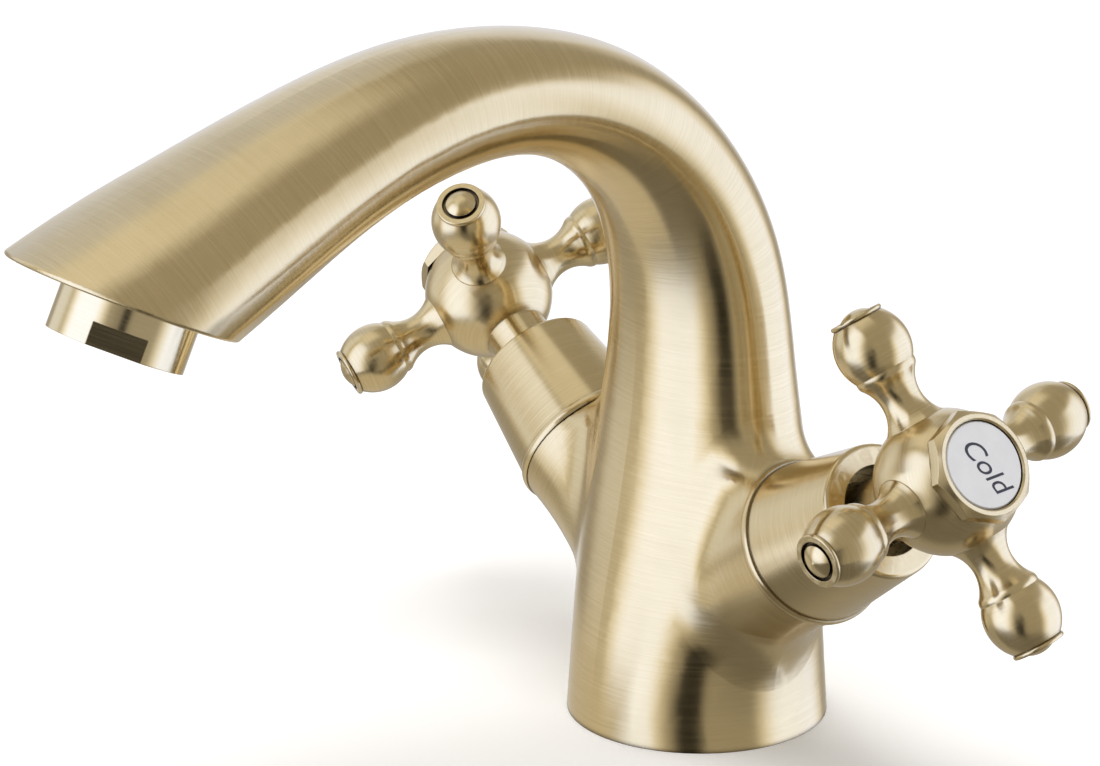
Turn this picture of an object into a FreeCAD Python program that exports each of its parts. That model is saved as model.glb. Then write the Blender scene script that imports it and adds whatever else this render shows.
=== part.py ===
import FreeCAD, Part
import Sketcher
import math
import os

# One-hole basin mixer with a fixed swan spout and two cross handles on quarter-turn ceramic valves.
# Millimetres. +Z is up, the deck is the plane Z = 0 and the column stands on the origin.
# The spout points along -Y, the cold handle lies towards +X and the hot handle towards -X.

doc = FreeCAD.newDocument("basin_mixer")

# Driving dimensions, one cell and alias each

SIZES = {
    # Casting: round foot, then oval sections along the column, the bend and the nose
    "foot_dia": 50.4,
    "plinth_height": 13.0,
    "plinth_dia": 48.7,
    "waist_height": 27.0,
    "waist_width": 50.9,
    "waist_depth": 44.3,
    "shoulder_height": 50.0,
    "shoulder_width": 49.4,
    "shoulder_depth": 35.8,
    "lean_height": 72.0,
    "lean_width": 42.7,
    "lean_depth": 30.5,
    "lean_radius": 85.0,
    "lean_angle": 14.0,
    "bend_width": 39.3,
    "bend_depth": 27.8,
    "bend_radius": 46.7,
    "bend_low_angle": 40.0,
    "bend_low_width": 35.9,
    "bend_low_depth": 24.9,
    "bend_high_angle": 65.0,
    "bend_high_width": 33.5,
    "bend_high_depth": 23.3,
    "crown_width": 32.5,
    "crown_depth": 22.9,
    "brow_radius": 90.0,
    "brow_angle": 12.5,
    "brow_width": 35.6,
    "brow_depth": 24.7,
    "nose_drop": 25.0,
    "nose_root_width": 39.4,
    "nose_root_depth": 26.6,
    "nose_mid_reach": 22.0,
    "nose_mid_width": 45.1,
    "nose_mid_depth": 29.7,
    "nose_low_reach": 43.0,
    "nose_low_width": 48.5,
    "nose_low_depth": 31.5,
    "nose_end_reach": 64.0,
    "nose_end_width": 49.3,
    "nose_end_depth": 32.0,
    # Casting: oblique mouth with the aerator socket
    "mouth_along": 39.4,
    "mouth_drop": 1.87,
    "mouth_tilt": 25.0,
    "mouth_cut_side": 70.0,
    "mouth_cut_depth": 40.0,
    "mouth_edge_round": 0.6,
    # Casting: waterway core and ducts
    "wall": 3.5,
    "core_floor_wall": 4.6,
    "socket_floor": 3.0,
    "outlet_hole_dia": 17.0,
    "duct_dia": 7.0,
    "inlet_duct_drop": 7.4,
    "mix_duct_rise": 7.6,
    "mix_duct_offset": 7.0,
    # Casting: valve arms, lengths along the inclined valve axis from the column's axis
    "valve_axis_height": 22.4,
    "valve_tilt": 31.0,
    "seat_reach": 40.4,
    "arm_root_reach": 10.0,
    "arm_root_dia": 36.0,
    "arm_dia": 30.4,
    "arm_flare_radius": 80.0,
    "arm_blend": 16.0,
    "bore_depth": 22.0,
    "thread_depth": 9.0,
    "port_dia": 8.0,
    "port_depth": 9.4,
    # Casting: underside
    "gasket_outer_dia": 46.0,
    "gasket_inner_dia": 40.0,
    "gasket_height": 2.0,
    "inlet_tap_dia": 9.0,
    "inlet_tap_depth": 14.0,
    "inlet_spread": 7.5,
    "inlet_forward": 5.0,
    "stud_tap_dia": 6.8,
    "stud_tap_depth": 16.0,
    "stud_back": 10.0,
    # Fits
    "fixed_gap": 0.1,
    "running_gap": 0.05,
    # Aerator
    "collar_dia": 24.8,
    "collar_height": 8.7,
    "collar_edge": 0.5,
    "aerator_thread_dia": 23.8,
    "aerator_thread_length": 7.0,
    "aerator_bore_dia": 20.6,
    "aerator_lip": 1.4,
    "aerator_mouth_dia": 18.8,
    "aerator_washer_height": 2.0,
    "aerator_washer_bore": 18.6,
    "insert_height": 12.5,
    "insert_hole_dia": 2.2,
    "insert_hole_circle": 13.4,
    "insert_hole_count": 12,
    "screen_height": 0.8,
    # Valve sleeve
    "sleeve_length": 24.0,
    "bead_dia": 31.6,
    "bead_height": 1.8,
    "bead_undercut": 0.4,
    "cone_foot_dia": 30.0,
    "cone_front_dia": 25.2,
    "front_round": 0.9,
    "sleeve_hole_dia": 17.0,
    "sleeve_skirt_bore": 26.6,
    "sleeve_skirt_depth": 10.0,
    "sleeve_collar_depth": 17.6,
    # Headwork
    "headwork_thread_dia": 20.8,
    "headwork_barrel_dia": 18.4,
    "headwork_foot_gap": 0.6,
    "hexagon_sides": 6,
    "hexagon_width": 22.0,
    "hexagon_height": 5.0,
    "headwork_washer_height": 1.0,
    "headwork_washer_dia": 25.0,
    "headwork_neck_dia": 19.2,
    "headwork_rise": 17.5,
    "disc_chamber_dia": 16.1,
    "flange_room": 0.75,
    "clip_chamber_dia": 14.0,
    "clip_chamber_depth": 2.9,
    "window_count": 2,
    "window_width": 8.0,
    "window_height": 5.0,
    "window_margin": 1.3,
    # Ceramic discs and seat seal
    "seat_seal_height": 3.2,
    "seat_seal_dia": 15.8,
    "seat_seal_bore": 9.2,
    "disc_dia": 15.8,
    "fixed_disc_height": 2.5,
    "moving_disc_height": 3.0,
    "disc_port_count": 2,
    "disc_port_dia": 4.4,
    "disc_port_circle": 8.0,
    # Spindle
    "spindle_dia": 10.0,
    "spindle_flange_height": 3.0,
    "spindle_flange_dia": 15.4,
    "spline_dia": 7.8,
    "spline_start_gap": 0.5,
    "spline_set_back": 12.0,
    "screw_tap_dia": 4.2,
    "screw_tap_depth": 13.0,
    "ring_section": 1.7,
    "ring_depth": 11.9,
    "ring_pitch": 6.0,
    "clip_thickness": 1.0,
    "clip_dia": 12.6,
    "clip_groove_depth": 0.8,
    # Handle hub
    "hub_stand_off": 19.6,
    "hub_dia": 26.0,
    "hub_flat_depth": 1.3,
    "hub_front_depth": 4.3,
    "neck_dia": 12.8,
    "neck_gap": 0.5,
    "screw_hole_dia": 5.4,
    "screw_set_back": 4.0,
    "screw_well_dia": 9.2,
    "bezel_well_dia": 14.4,
    "bezel_well_depth": 4.7,
    "arm_socket_depth": 4.3,
    "flat_cutter": 60.0,
    # Handle arms
    "arm_count": 4,
    "stud_dia": 5.8,
    "stud_length": 4.1,
    "foot_rim_dia": 11.2,
    "waist_curve": 6.8,
    "waist_length": 9.05,
    "bead_start_dia": 10.56,
    "bead_length": 1.55,
    "bead_end_dia": 11.4,
    "bead_curve": 1.9,
    "bulb_length": 10.0,
    "bulb_end_dia": 9.3,
    "bulb_curve": 8.2,
    "rim_height": 0.8,
    "rim_dia": 9.5,
    "rim_curve": 0.5,
    "rim_bore": 7.4,
    "button_groove": 0.7,
    "button_dia": 6.0,
    "button_curve": 5.0,
    "button_rise": 1.8,
    # Screw, bezel and index disc
    "screw_head_dia": 8.4,
    "screw_head_height": 3.4,
    "screw_dia": 4.0,
    "screw_length": 17.0,
    "screw_slot_width": 1.2,
    "screw_slot_depth": 1.4,
    "bezel_sides": 8,
    "bezel_width": 19.2,
    "bezel_height": 2.9,
    "bezel_bevel": 0.5,
    "bezel_lip_bevel": 0.3,
    "bezel_skirt_dia": 14.2,
    "bezel_skirt_length": 3.5,
    "bezel_bore": 11.2,
    "bezel_turn": 15.0,
    "disc_seat_depth": 1.8,
    "index_dia": 15.9,
    "index_height": 1.5,
    "index_edge": 0.3,
    # Turn between the discs' ports when the valve is shut, and of each cross as photographed, in degrees
    "shut_turn": 90.0,
    "cold_spin": 14.25,
    "hot_spin": -29.75,
}

# Places that follow from them, also one cell and alias each

PLACES = {
    # Along the valve axis, from the column's axis
    "bore_floor_reach": "seat_reach - bore_depth",
    "port_reach": "bore_floor_reach - port_depth",
    "inlet_duct_reach": "bore_floor_reach - inlet_duct_drop",
    "mix_duct_reach": "bore_floor_reach + mix_duct_rise",
    "sleeve_front": "seat_reach + sleeve_length",
    "headwork_foot_reach": "bore_floor_reach + headwork_foot_gap",
    "headwork_top_reach": "seat_reach + headwork_rise",
    "hexagon_foot": "seat_reach + headwork_washer_height",
    "seal_top": "bore_floor_reach + seat_seal_height",
    "fixed_disc_top": "seal_top + fixed_disc_height",
    "moving_disc_foot": "fixed_disc_top + running_gap",
    "moving_disc_top": "moving_disc_foot + moving_disc_height",
    "flange_top": "moving_disc_top + spindle_flange_height",
    "disc_chamber_end": "flange_top + flange_room",
    "window_end": "disc_chamber_end - window_margin",
    "window_start": "window_end - window_height",
    "clip_seat": "headwork_top_reach - clip_chamber_depth",
    "clip_foot": "clip_seat + running_gap",
    "clip_top": "clip_foot + clip_thickness",
    "ring_second_reach": "headwork_top_reach - ring_depth",
    "ring_first_reach": "ring_second_reach - ring_pitch",
    "spline_start": "headwork_top_reach - spline_start_gap",
    "neck_end": "headwork_top_reach + neck_gap",
    "hub_reach": "sleeve_front + hub_stand_off",
    "spline_end": "hub_reach - spline_set_back",
    "screw_seat": "hub_reach - screw_set_back",
    "hub_face": "hub_reach + hub_front",
    "bezel_front": "hub_face + bezel_height",
    "index_foot": "bezel_front - disc_seat_depth",
    # Out from the hub's centre
    "hub_flat": "hub_dia / 2 - hub_flat_depth",
    "hub_front": "hub_dia / 2 - hub_front_depth",
    "bead_start": "hub_flat + waist_length",
    "bead_end": "bead_start + bead_length",
    "bulb_end": "bead_end + bulb_length",
    "button_top": "bulb_end + button_rise",
}

sheet = doc.addObject("Spreadsheet::Sheet", "dim")
cells = {alias: str(number) for alias, number in SIZES.items()}
cells.update({alias: f"={formula}" for alias, formula in PLACES.items()})
for row, alias in enumerate(cells, start=1):
    sheet.set(f"A{row}", alias)
    sheet.setAlias(f"B{row}", alias)
for row, content in enumerate(cells.values(), start=1):
    sheet.set(f"B{row}", content)
doc.recompute()

# References that a sketch uses: the ends and centre of an edge, its origin and its two axes

START = 1
END = 2
CENTRE = 3
HORIZONTAL_AXIS = -1
VERTICAL_AXIS = -2
ORIGIN_POINT = (HORIZONTAL_AXIS, START)

UP = FreeCAD.Vector(0, 0, 1)
ALONG_X = FreeCAD.Vector(1, 0, 0)
ALONG_Y = FreeCAD.Vector(0, 1, 0)
QUARTER_TURN = 90
HALF_TURN = 180
FULL_TURN = 360
COLD_SIDE = 1
HOT_SIDE = -1

nodes = []


def value(expression):
    """The number that an expression over the sheet has now."""
    return float(sheet.evalExpression(expression))


def half(alias):
    """Half of a size on the sheet, as an expression."""
    return f"dim.{alias} / 2"


def origin_part(body, role):
    """A plane or axis of the body's own origin."""
    for feature in body.Origin.OriginFeatures:
        if feature.Role == role:
            return feature


def new_body(label):
    body = doc.addObject("PartDesign::Body", label)
    body.Label = label
    return body


def new_sketch(body, name, plane, offset=None):
    """A sketch on one of the body's origin planes, moved by an offset given as expressions."""
    sketch = body.newObject("Sketcher::SketchObject", name)
    sketch.AttachmentSupport = [(origin_part(body, plane), "")]
    sketch.MapMode = "FlatFace"
    if offset:
        turn_axis = offset.get("about", UP)
        sketch.AttachmentOffset = FreeCAD.Placement(FreeCAD.Vector(), FreeCAD.Rotation(turn_axis, 1))
        sketch.setExpression("AttachmentOffset.Rotation.Angle", offset.get("turn", "0"))
        for letter in "xyz":
            sketch.setExpression(f"AttachmentOffset.Base.{letter}", offset.get(letter, "0"))
    return sketch


def constrain(sketch, kind, *references, expression):
    """A driving constraint whose value follows an expression."""
    index = sketch.addConstraint(Sketcher.Constraint(kind, *references, value(expression)))
    sketch.setExpression(f"Constraints[{index}]", expression)


def pin_point(sketch, edge, end, across, along):
    """Ties a point to its distances from the sketch's origin."""
    measures = (("DistanceX", across, VERTICAL_AXIS), ("DistanceY", along, HORIZONTAL_AXIS))
    for kind, expression, axis in measures:
        distance = value(expression)
        if distance == 0:
            sketch.addConstraint(Sketcher.Constraint("PointOnObject", edge, end, axis))
        elif distance > 0:
            constrain(sketch, kind, *ORIGIN_POINT, edge, end, expression=expression)
        else:
            constrain(sketch, kind, edge, end, *ORIGIN_POINT, expression=f"-({expression})")


def arc_between(start, end, radius, bulges_out):
    """The short arc between two points of an outline that runs anticlockwise."""
    chord = end - start
    rise = math.sqrt(radius ** 2 - (chord.Length / 2) ** 2)
    left = UP.cross(chord)
    left.normalize()
    centre = (start + end) / 2 + left * (rise if bulges_out else -rise)
    first, last = (start, end) if bulges_out else (end, start)
    first_angle = math.atan2(first.y - centre.y, first.x - centre.x)
    last_angle = math.atan2(last.y - centre.y, last.x - centre.x)
    return Part.ArcOfCircle(Part.Circle(centre, UP, radius), first_angle, last_angle)


def draw_outline(sketch, corners):
    """A closed outline, anticlockwise. A corner is (across, along), and one that starts an arc
    to the next corner adds the arc's radius and "out" or "in" for the side it bulges to."""
    points = [FreeCAD.Vector(value(across), value(along), 0) for across, along, *_ in corners]
    ends = []
    following = points[1:] + points[:1]
    for (_, _, *arc), start, end in zip(corners, points, following):
        if not arc:
            edge = sketch.addGeometry(Part.LineSegment(start, end), False)
            ends.append((edge, START, END))
            continue
        radius, side = arc
        edge = sketch.addGeometry(arc_between(start, end, value(radius), side == "out"), False)
        ends.append((edge, START, END) if side == "out" else (edge, END, START))
    for (edge, _, last), (next_edge, next_first, _) in zip(ends, ends[1:] + ends[:1]):
        sketch.addConstraint(Sketcher.Constraint("Coincident", edge, last, next_edge, next_first))
    for (edge, first, _), (across, along, *arc) in zip(ends, corners):
        pin_point(sketch, edge, first, across, along)
        if arc:
            constrain(sketch, "Radius", edge, expression=arc[0])
    return sketch


def draw_circle(sketch, diameter, across="0", along="0"):
    centre = FreeCAD.Vector(value(across), value(along), 0)
    edge = sketch.addGeometry(Part.Circle(centre, UP, value(diameter) / 2), False)
    pin_point(sketch, edge, CENTRE, across, along)
    constrain(sketch, "Diameter", edge, expression=diameter)
    return sketch


def draw_halves(sketch, curve, arc):
    """A closed curve about the sketch's origin, drawn as two halves that meet on its vertical axis.
    A loft's seams then lie front and back, clear of what joins it at the sides."""
    quarter, half_turn = math.radians(QUARTER_TURN), math.radians(HALF_TURN)
    halves = []
    for start in (-quarter, quarter):
        edge = sketch.addGeometry(arc(curve, start, start + half_turn), False)
        pin_point(sketch, edge, CENTRE, "0", "0")
        for end in (START, END):
            sketch.addConstraint(Sketcher.Constraint("PointOnObject", edge, end, VERTICAL_AXIS))
        halves.append(edge)
    return halves


def draw_round(sketch, diameter):
    """A circle in two halves."""
    circle = Part.Circle(FreeCAD.Vector(), UP, value(diameter) / 2)
    for edge in draw_halves(sketch, circle, Part.ArcOfCircle):
        constrain(sketch, "Diameter", edge, expression=diameter)
    return sketch


def draw_oval(sketch, width, depth):
    """An oval in two halves, wider across than along."""
    ellipse = Part.Ellipse(FreeCAD.Vector(), value(width) / 2, value(depth) / 2)
    for edge in draw_halves(sketch, ellipse, Part.ArcOfEllipse):
        long_axis = sketch.GeometryCount
        short_axis = long_axis + 1
        sketch.exposeInternalGeometry(edge)
        sketch.addConstraint(Sketcher.Constraint("Horizontal", long_axis))
        constrain(sketch, "Distance", long_axis, expression=width)
        constrain(sketch, "Distance", short_axis, expression=depth)
    return sketch


def draw_box(sketch, left, low, right, high):
    return draw_outline(sketch, [(left, low), (right, low), (right, high), (left, high)])


def draw_polygon(sketch, width, sides):
    """A regular polygon about the origin, given by its width across flats and number of sides."""
    half_side = f"{HALF_TURN} / {sides}"
    corner_radius = f"{width} / 2 / cos({half_side})"
    corners = []
    for index in range(round(value(sides))):
        angle = f"({FULL_TURN} * {index} / {sides} + {half_side})"
        corners.append((f"{corner_radius} * cos({angle})", f"{corner_radius} * sin({angle})"))
    return draw_outline(sketch, corners)


def turn(body, sketch, kind="PartDesign::Revolution"):
    """Turns an outline about its sketch's vertical axis, adding or cutting."""
    feature = body.newObject(kind, f"{sketch.Name}_turned")
    feature.Profile = sketch
    feature.ReferenceAxis = (sketch, ["V_Axis"])
    feature.Angle = FULL_TURN
    return feature


def turned_body(label, corners):
    body = new_body(label)
    turn(body, draw_outline(new_sketch(body, f"{label}_outline", "XZ_Plane"), corners))
    return body


def extrude(body, sketch, length, kind="PartDesign::Pocket", reverse=False):
    """A pad or pocket of a sketch, with its length from the sheet."""
    feature = body.newObject(kind, f"{sketch.Name}_{kind[-3:].lower()}")
    feature.Profile = sketch
    feature.Reversed = reverse
    feature.setExpression("Length", length)
    return feature


def repeat(body, feature, count):
    """Copies a feature round the body's Z axis."""
    pattern = body.newObject("PartDesign::PolarPattern", f"{feature.Name}_round")
    pattern.Originals = [feature]
    pattern.Axis = (origin_part(body, "Z_Axis"), [""])
    pattern.Angle = FULL_TURN
    pattern.setExpression("Occurrences", count)
    body.Tip = pattern
    return pattern


def mirror(body, feature):
    """Copies a feature to the other side of the symmetry plane."""
    mirrored = body.newObject("PartDesign::Mirrored", f"{feature.Name}_mirrored")
    mirrored.Originals = [feature]
    mirrored.MirrorPlane = (origin_part(body, "YZ_Plane"), [""])
    body.Tip = mirrored
    return mirrored


def dress(body, kind, name, test, measure, expression):
    """Rounds or bevels the edges that pass a test, by a measure from the sheet."""
    base = body.Tip
    shape = base.Shape
    edges = [f"Edge{i}" for i, edge in enumerate(shape.Edges, start=1) if test(shape, edge)]
    feature = body.newObject(kind, name)
    feature.Base = (base, edges)
    feature.setExpression(measure, expression)
    doc.recompute()
    return feature


def finish(node, placement=None):
    """Places a sub-part and puts it on the list that is written out."""
    if placement:
        node.Placement = placement
    nodes.append(node)
    return node


# Spine of the column and the swan spout

LEAN_DEPTH = "dim.lean_radius * (1 - cos(dim.lean_angle))"
LEAN_TOP = "dim.lean_height + dim.lean_radius * sin(dim.lean_angle)"


def on_column(height):
    return {"z": height}


def on_bend(angle):
    """The column leans forward along a wide arc, then bends over along a tighter one to the crown."""
    return {
        "about": ALONG_X,
        "turn": f"{angle}",
        "y": f"-{LEAN_DEPTH} - dim.bend_radius * (cos(dim.lean_angle) - cos({angle}))",
        "z": f"{LEAN_TOP} + dim.bend_radius * (sin({angle}) - sin(dim.lean_angle))",
    }


def on_brow(angle, beyond="0"):
    """Past the crown the spine drops along a wider arc, then runs straight beyond its end."""
    crown = on_bend(QUARTER_TURN)
    return {
        "about": ALONG_X,
        "turn": f"{QUARTER_TURN} + {angle}",
        "y": f"{crown['y']} - dim.brow_radius * sin({angle}) - {beyond} * cos({angle})",
        "z": f"{crown['z']} - dim.brow_radius * (1 - cos({angle})) - {beyond} * sin({angle})",
    }


# Frames in which the pieces are drawn

def valve_frame(side):
    """Z runs out along a valve axis from the column's axis."""
    base = FreeCAD.Vector(0, 0, value("dim.valve_axis_height"))
    lean = value(f"{QUARTER_TURN} - dim.valve_tilt")
    return FreeCAD.Placement(base, FreeCAD.Rotation(ALONG_Y, side * lean))


def on_mouth():
    """The mouth's face lies a little below the straight end of the spine, turned further down."""
    nose = on_brow("dim.nose_drop", "dim.mouth_along")
    return {
        "about": ALONG_X,
        "turn": f"{HALF_TURN} - dim.mouth_tilt",
        "y": f"{nose['y']} + dim.mouth_drop * sin(dim.nose_drop)",
        "z": f"{nose['z']} - dim.mouth_drop * cos(dim.nose_drop)",
    }


MOUTH_OFFSET = on_mouth()


def outlet_frame():
    """Z runs out of the mouth, from the centre of the mouth's face."""
    base = FreeCAD.Vector(0, value(MOUTH_OFFSET["y"]), value(MOUTH_OFFSET["z"]))
    return FreeCAD.Placement(base, FreeCAD.Rotation(ALONG_X, value(MOUTH_OFFSET["turn"])))


def about_axis(turn_alias):
    """A turn about the valve axis by an angle from the sheet."""
    return FreeCAD.Placement(FreeCAD.Vector(), FreeCAD.Rotation(UP, value(f"dim.{turn_alias}")))


VALVE_OFFSET = {"turn": f"dim.valve_tilt - {QUARTER_TURN}", "y": "dim.valve_axis_height"}
SOCKET_DEPTH = "(dim.aerator_thread_length + dim.aerator_washer_height)"


# Casting: column and swan spout, lofted through sections square to the spine


def loft_through(body, sections, wall="0"):
    """A smooth loft through sections, each a name, an offset, a width and for an oval a depth,
    or through the same sections less a wall all round."""
    sketches = []
    for name, offset, *measures in sections:
        sketch = new_sketch(body, f"{body.Label}_{name}", "XY_Plane", offset)
        draw = draw_oval if len(measures) == 2 else draw_round
        sketches.append(draw(sketch, *[f"{measure} - 2 * {wall}" for measure in measures]))
    loft = body.newObject("PartDesign::AdditiveLoft", f"{body.Label}_loft")
    loft.Profile = sketches[0]
    loft.Sections = sketches[1:]
    return loft


def oval(name, offset):
    """An oval section with the width and depth of that name on the sheet."""
    return name, offset, f"dim.{name}_width", f"dim.{name}_depth"


SPOUT_SECTIONS = [
    oval("lean", on_column("dim.lean_height")),
    oval("bend", on_bend("dim.lean_angle")),
    oval("bend_low", on_bend("dim.bend_low_angle")),
    oval("bend_high", on_bend("dim.bend_high_angle")),
    oval("crown", on_bend(QUARTER_TURN)),
    oval("brow", on_brow("dim.brow_angle")),
    oval("nose_root", on_brow("dim.nose_drop")),
    oval("nose_mid", on_brow("dim.nose_drop", "dim.nose_mid_reach")),
    oval("nose_low", on_brow("dim.nose_drop", "dim.nose_low_reach")),
    oval("nose_end", on_brow("dim.nose_drop", "dim.nose_end_reach")),
]
COLUMN_SECTIONS = [
    ("foot", on_column("0"), "dim.foot_dia"),
    ("plinth", on_column("dim.plinth_height"), "dim.plinth_dia"),
    oval("waist", on_column("dim.waist_height")),
    oval("shoulder", on_column("dim.shoulder_height")),
]


def cut_at_mouth(body, inset):
    """Cuts the nose along the mouth's plane, moved in by an inset."""
    offset = dict(MOUTH_OFFSET)
    offset["y"] += f" + ({inset}) * sin(dim.mouth_tilt)"
    offset["z"] += f" + ({inset}) * cos(dim.mouth_tilt)"
    reach = half("mouth_cut_side")
    sketch = new_sketch(body, f"{body.Label}_mouth", "XY_Plane", offset)
    draw_box(sketch, f"-{reach}", f"-{reach}", reach, reach)
    return extrude(body, sketch, "dim.mouth_cut_depth", reverse=True)


def make_casting_blank():
    """Outside of the casting with its machined bores, before the waterway is cored out."""
    body = new_body("casting_blank")
    loft_through(body, COLUMN_SECTIONS + SPOUT_SECTIONS)
    cut_at_mouth(body, "0")
    doc.recompute()

    def is_mouth(shape, edge):
        kinds = {type(face.Surface).__name__ for face in shape.ancestorsOfType(edge, Part.Face)}
        return "Plane" in kinds and edge.BoundBox.ZMin > value("dim.shoulder_height")

    dress(body, "PartDesign::Fillet", "mouth_edge", is_mouth, "Radius", "dim.mouth_edge_round")

    arm = new_sketch(body, "arm_outline", "XZ_Plane", VALVE_OFFSET)
    draw_outline(arm, [
        ("0", "dim.arm_root_reach"),
        (half("arm_root_dia"), "dim.arm_root_reach", "dim.arm_flare_radius", "in"),
        (half("arm_dia"), "dim.seat_reach"),
        ("0", "dim.seat_reach"),
    ])
    mirror(body, turn(body, arm))
    doc.recompute()

    def is_junction(shape, edge):
        kinds = {type(face.Surface).__name__ for face in shape.ancestorsOfType(edge, Part.Face)}
        return "BSplineSurface" in kinds and len(kinds) == 2 and "Plane" not in kinds

    dress(body, "PartDesign::Fillet", "arm_blend", is_junction, "Radius", "dim.arm_blend")

    bore = new_sketch(body, "valve_bore_outline", "XZ_Plane", VALVE_OFFSET)
    thread_floor = "dim.seat_reach - dim.thread_depth"
    draw_outline(bore, [
        ("0", "dim.port_reach"),
        (half("port_dia"), "dim.port_reach"),
        (half("port_dia"), "dim.bore_floor_reach"),
        (f"{half('headwork_barrel_dia')} + dim.fixed_gap", "dim.bore_floor_reach"),
        (f"{half('headwork_barrel_dia')} + dim.fixed_gap", thread_floor),
        (f"{half('headwork_thread_dia')} + dim.fixed_gap", thread_floor),
        (f"{half('headwork_thread_dia')} + dim.fixed_gap", "dim.seat_reach"),
        ("0", "dim.seat_reach"),
    ])
    mirror(body, turn(body, bore, "PartDesign::Groove"))

    socket = new_sketch(body, "aerator_socket", "XY_Plane", MOUTH_OFFSET)
    draw_circle(socket, "dim.aerator_thread_dia + 2 * dim.fixed_gap")
    extrude(body, socket, SOCKET_DEPTH)
    outlet = new_sketch(body, "outlet_hole", "XY_Plane", MOUTH_OFFSET)
    draw_circle(outlet, "dim.outlet_hole_dia")
    extrude(body, outlet, f"{SOCKET_DEPTH} + 2 * dim.socket_floor")

    groove = new_sketch(body, "gasket_groove", "XY_Plane")
    draw_circle(groove, "dim.gasket_outer_dia + 2 * dim.fixed_gap")
    draw_circle(groove, "dim.gasket_inner_dia - 2 * dim.fixed_gap")
    extrude(body, groove, "dim.gasket_height", reverse=True)
    inlets = new_sketch(body, "inlet_taps", "XY_Plane")
    draw_circle(inlets, "dim.inlet_tap_dia", "dim.inlet_spread", "-dim.inlet_forward")
    draw_circle(inlets, "dim.inlet_tap_dia", "-dim.inlet_spread", "-dim.inlet_forward")
    extrude(body, inlets, "dim.inlet_tap_depth", reverse=True)
    stud = new_sketch(body, "stud_tap", "XY_Plane")
    draw_circle(stud, "dim.stud_tap_dia", "0", "dim.stud_back")
    extrude(body, stud, "dim.stud_tap_depth", reverse=True)
    return body


def make_duct(name, start, end):
    """A round duct between two points inside the casting."""
    duct = doc.addObject("Part::Cylinder", name)
    duct.setExpression("Radius", half("duct_dia"))
    duct.Height = (end - start).Length
    duct.Placement = FreeCAD.Placement(start, FreeCAD.Rotation(UP, end - start))
    return duct


def make_casting_core():
    """The hollow of the casting: spout waterway, inlet ducts and ducts from valves to waterway."""
    waterway = new_body("waterway")
    margin = "(dim.core_floor_wall - dim.wall)"
    floor = (
        "floor",
        on_column("dim.shoulder_height"),
        f"dim.shoulder_width - 2 * {margin}",
        f"dim.shoulder_depth - 2 * {margin}",
    )
    loft_through(waterway, [floor] + SPOUT_SECTIONS, "dim.wall")
    cut_at_mouth(waterway, f"{SOCKET_DEPTH} + dim.socket_floor")
    pieces = [waterway]
    overlap = value(half("duct_dia"))
    for name, side in (("cold", COLD_SIDE), ("hot", HOT_SIDE)):
        frame = valve_frame(side)
        inlet_top = value("dim.inlet_tap_depth") - overlap
        inlet = FreeCAD.Vector(side * value("dim.inlet_spread"), -value("dim.inlet_forward"), inlet_top)
        port = frame.multVec(FreeCAD.Vector(0, 0, value("dim.inlet_duct_reach")))
        pieces.append(make_duct(f"{name}_inlet_duct", inlet, port))
        valve = frame.multVec(FreeCAD.Vector(0, 0, value("dim.mix_duct_reach")))
        mixing_height = value("dim.shoulder_height") + overlap
        mixing = FreeCAD.Vector(side * value("dim.mix_duct_offset"), 0, mixing_height)
        pieces.append(make_duct(f"{name}_mix_duct", valve, mixing))
    core = doc.addObject("Part::MultiFuse", "casting_core")
    core.Shapes = pieces
    return core


casting = doc.addObject("Part::Cut", "body_casting")
casting.Base = make_casting_blank()
casting.Tool = make_casting_core()
finish(casting)


# Gasket in its groove under the foot

finish(turned_body("base_gasket", [
    (half("gasket_inner_dia"), "0"),
    (half("gasket_outer_dia"), "0"),
    (half("gasket_outer_dia"), "dim.gasket_height"),
    (half("gasket_inner_dia"), "dim.gasket_height"),
]))


# Aerator, drawn along the outlet's axis with the mouth's face at zero

def make_aerator():
    thread_top = "-dim.aerator_thread_length"
    lip = "dim.collar_height - dim.aerator_lip"
    finish(turned_body("aerator_housing", [
        (half("aerator_bore_dia"), thread_top),
        (half("aerator_thread_dia"), thread_top),
        (half("aerator_thread_dia"), "0"),
        (half("collar_dia"), "0"),
        (half("collar_dia"), "dim.collar_height - dim.collar_edge"),
        (f"{half('collar_dia')} - dim.collar_edge", "dim.collar_height"),
        (half("aerator_mouth_dia"), "dim.collar_height"),
        (half("aerator_mouth_dia"), lip),
        (half("aerator_bore_dia"), lip),
    ]), outlet_frame())

    insert_radius = f"{half('aerator_bore_dia')} - dim.fixed_gap"
    insert_top = f"{lip} - dim.insert_height"
    insert = turned_body("aerator_insert", [
        ("0", insert_top), (insert_radius, insert_top), (insert_radius, lip), ("0", lip),
    ])
    hole = new_sketch(insert, "insert_hole", "XY_Plane", {"z": lip})
    draw_circle(hole, "dim.insert_hole_dia", half("insert_hole_circle"))
    doc.recompute()
    repeat(insert, extrude(insert, hole, "dim.insert_height"), "dim.insert_hole_count")
    finish(insert, outlet_frame())

    screen_top = f"{insert_top} - dim.screen_height"
    finish(turned_body("aerator_screen", [
        ("0", screen_top), (insert_radius, screen_top), (insert_radius, insert_top), ("0", insert_top),
    ]), outlet_frame())

    washer_top = f"-{SOCKET_DEPTH}"
    finish(turned_body("aerator_washer", [
        (half("aerator_washer_bore"), washer_top),
        (half("aerator_thread_dia"), washer_top),
        (half("aerator_thread_dia"), thread_top),
        (half("aerator_washer_bore"), thread_top),
    ]), outlet_frame())


make_aerator()


# Valve and handle of one side. Heights run along the valve axis from the column's axis.

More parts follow.
